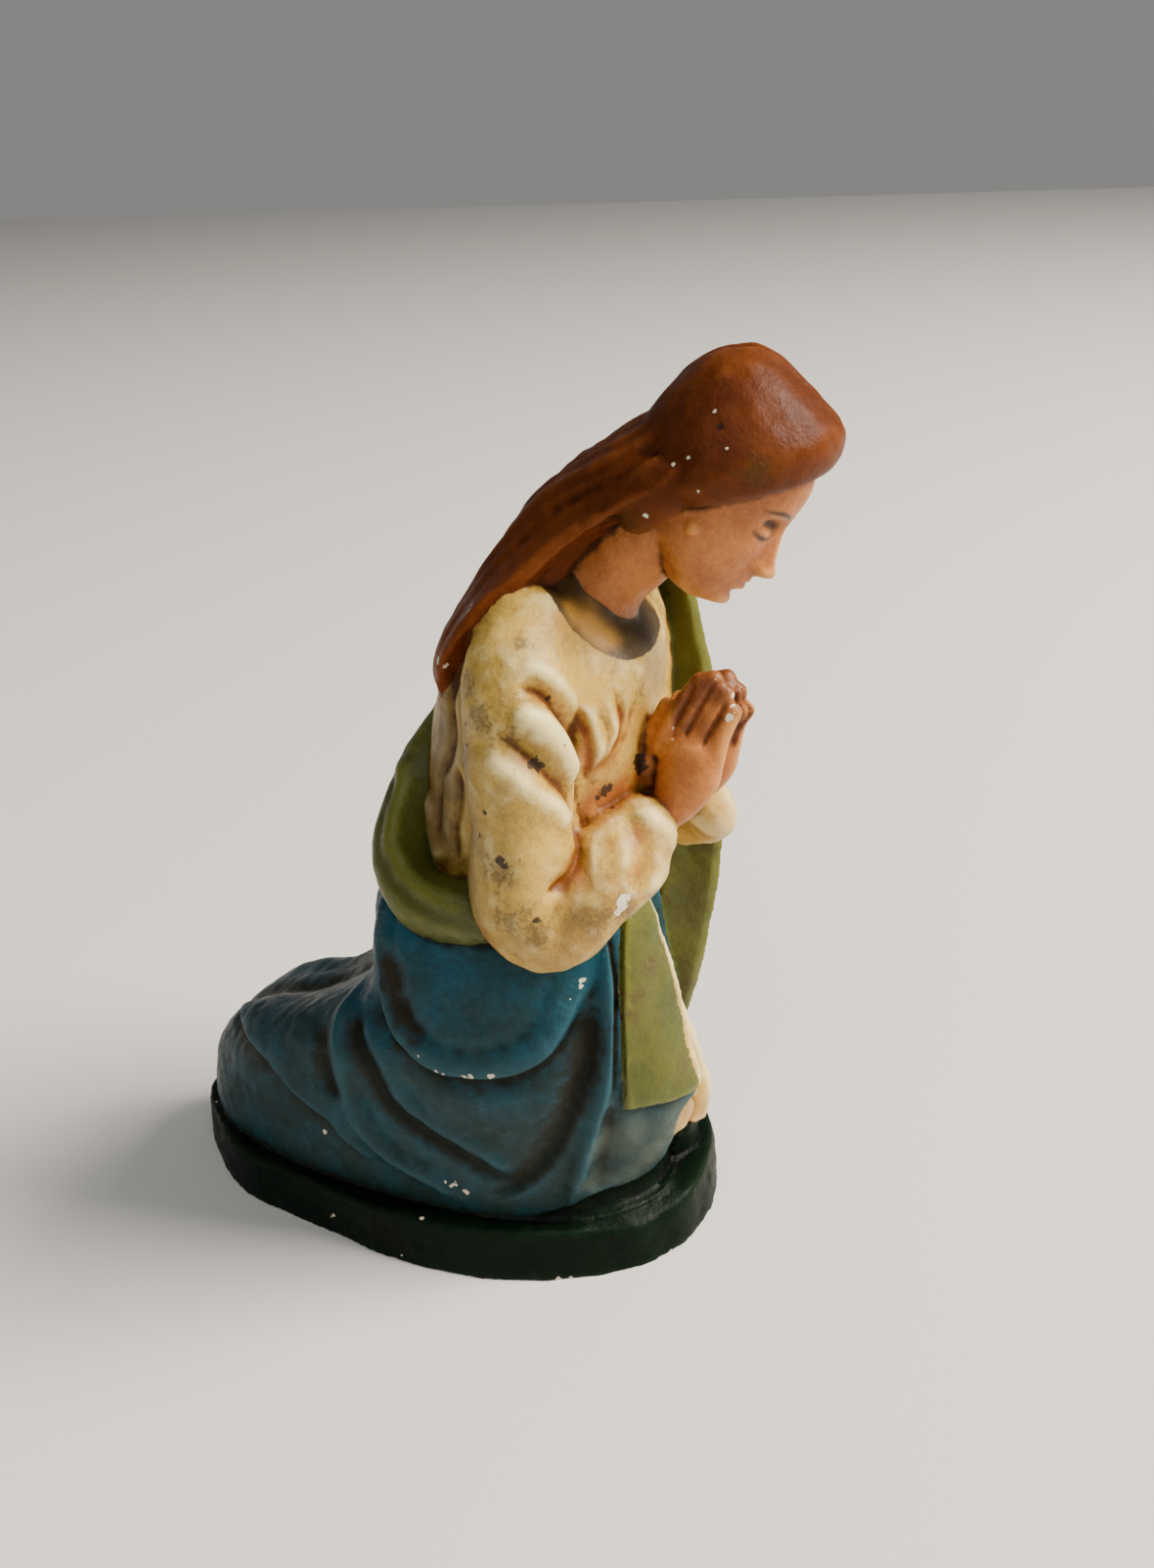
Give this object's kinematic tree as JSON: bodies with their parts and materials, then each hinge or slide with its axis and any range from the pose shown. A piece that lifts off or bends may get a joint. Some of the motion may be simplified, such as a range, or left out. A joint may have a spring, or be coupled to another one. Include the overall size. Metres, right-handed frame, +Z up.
{
  "type": "kneeling nativity figurine",
  "caption": "Hand-painted plaster figurine of a kneeling, praying person in a robe and mantle, cast in one piece with a low oval plinth, for a nativity scene.",
  "frame": {"origin": "middle of the plinth's flat underside", "axes": "+Z up, the figure faces -Y, its left side is +X"},
  "size_m": [0.0965, 0.183, 0.227],
  "materials": {
    "painted_plaster": "cast plaster, hand-painted in oil colours, satin and worn"
  },
  "bodies": {
    "root": {"kneeling_figure": "painted_plaster"}
  },
  "joints": []
}
